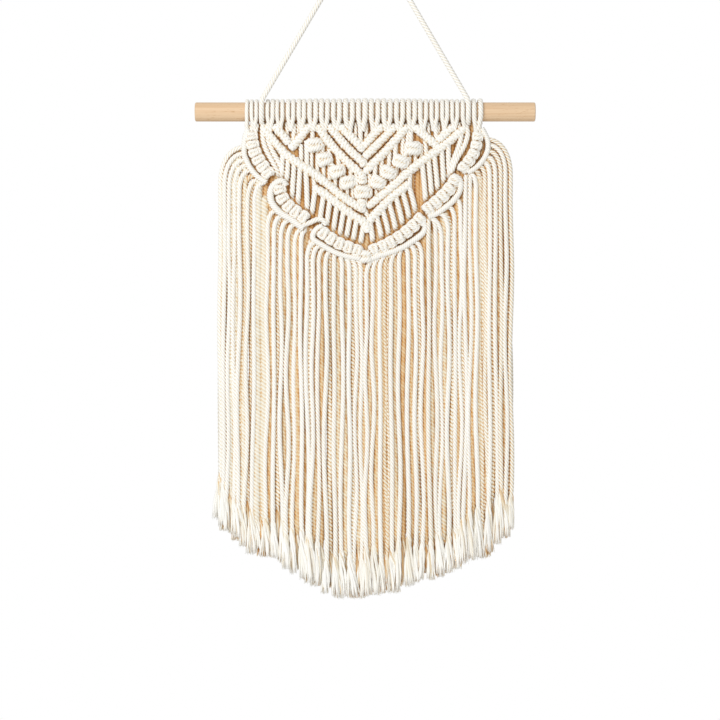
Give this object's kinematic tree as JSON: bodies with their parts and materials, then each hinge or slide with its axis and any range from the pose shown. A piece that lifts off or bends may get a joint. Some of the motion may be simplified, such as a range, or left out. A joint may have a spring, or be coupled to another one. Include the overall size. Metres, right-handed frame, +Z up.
{
  "type": "macrame wall hanging on a wooden dowel",
  "caption": "Small macrame wall hanging: cotton cords knotted in chevrons and swags on a beech dowel, with a long cut fringe, hung from one cord",
  "frame": {"origin": "hanging point, under the top of the hanging cord where a hook would carry it", "axes": "+Z up, the knotted front faces -Y, the dowel runs along X with +X to the right seen from the front"},
  "size_m": [0.25, 0.0226, 0.4907],
  "materials": {
    "cotton_cord": "undyed twisted cotton, matte",
    "beech": "sanded, unvarnished"
  },
  "bodies": {
    "root": {"dowel": "beech", "hanging_cord": "cotton_cord", "knotted_panel": "cotton_cord", "left_upper_swag": "cotton_cord", "left_middle_swag": "cotton_cord", "left_lower_swag": "cotton_cord", "right_lower_swag": "cotton_cord", "right_middle_swag": "cotton_cord", "right_upper_swag": "cotton_cord"}
  },
  "joints": []
}
